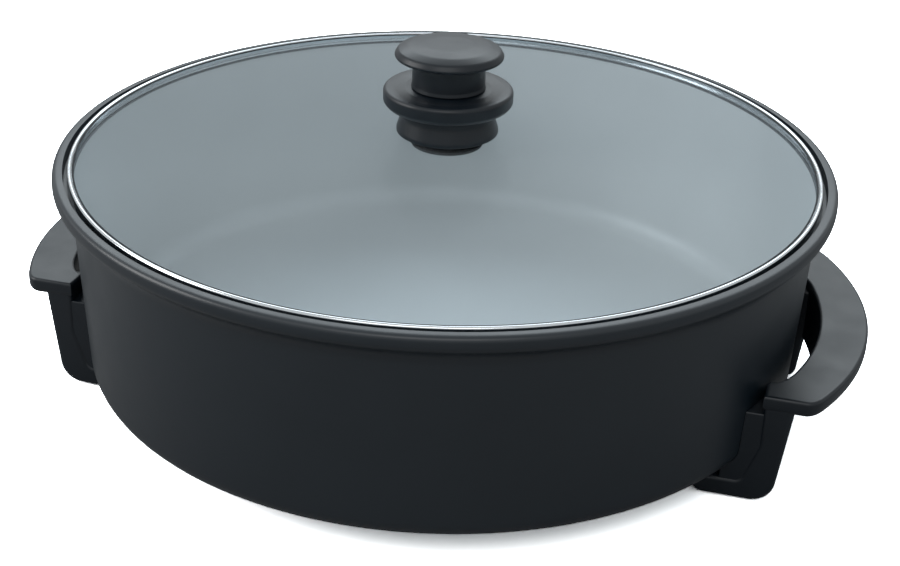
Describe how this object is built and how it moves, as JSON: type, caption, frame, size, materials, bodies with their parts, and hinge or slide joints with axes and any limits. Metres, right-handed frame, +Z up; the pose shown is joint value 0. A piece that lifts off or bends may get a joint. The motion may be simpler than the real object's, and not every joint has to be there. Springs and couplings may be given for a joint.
{
  "type": "electric cooking pot",
  "caption": "Wide, deep electric pan with a rolled rim, side handles that run down as legs, and a lift-off domed glass lid with a round knob.",
  "frame": {"origin": "on the table under the middle of the pan", "axes": "+X to the handle over the socket, +Z up, +Y square to both along the table"},
  "size_m": [0.4476, 0.3996, 0.1883],
  "materials": {
    "painted_aluminium": "dark satin paint outside, non-stick inside",
    "bare_aluminium": "mill",
    "polished_steel": "polished",
    "plated_steel": "zinc plated",
    "element_steel": "dull",
    "black_moulding": "moulded, soft gloss",
    "black_rubber": "matt",
    "lid_glass": "clear, tempered"
  },
  "bodies": {
    "pan": {"pan_body": "painted_aluminium", "handle_right": "black_moulding", "handle_left": "black_moulding", "foot_pad_right_front": "black_rubber", "foot_pad_right_rear": "black_rubber", "foot_pad_left_front": "black_rubber", "foot_pad_left_rear": "black_rubber", "mount_boss_right_front": "bare_aluminium", "mount_boss_right_rear": "bare_aluminium", "mount_boss_left_front": "bare_aluminium", "mount_boss_left_rear": "bare_aluminium", "handle_screw_right_front": "plated_steel", "handle_screw_right_rear": "plated_steel", "handle_screw_left_front": "plated_steel", "handle_screw_left_rear": "plated_steel", "heat_plate": "bare_aluminium", "heating_element": "element_steel", "element_clip_1": "plated_steel", "element_clip_2": "plated_steel", "element_clip_3": "plated_steel", "clip_screw_1": "plated_steel", "clip_screw_2": "plated_steel", "clip_screw_3": "plated_steel", "inlet_shroud": "black_moulding", "probe_sleeve": "element_steel", "inlet_pin_1": "element_steel", "inlet_pin_2": "element_steel", "shroud_boss_1": "bare_aluminium", "shroud_boss_2": "bare_aluminium", "shroud_screw_1": "plated_steel", "shroud_screw_2": "plated_steel"},
    "lid": {"lid_glass": "lid_glass", "lid_ring": "polished_steel", "knob_gasket": "black_rubber", "knob_seat": "black_moulding", "knob_grip": "black_moulding", "knob_washer": "black_rubber", "knob_plate": "plated_steel", "knob_screw": "plated_steel"}
  },
  "joints": [
    {"name": "lid_lift", "type": "slide", "parent": "pan", "child": "lid", "axis": [0, 0, 1], "range_m": [0, 0.12]}
  ]
}
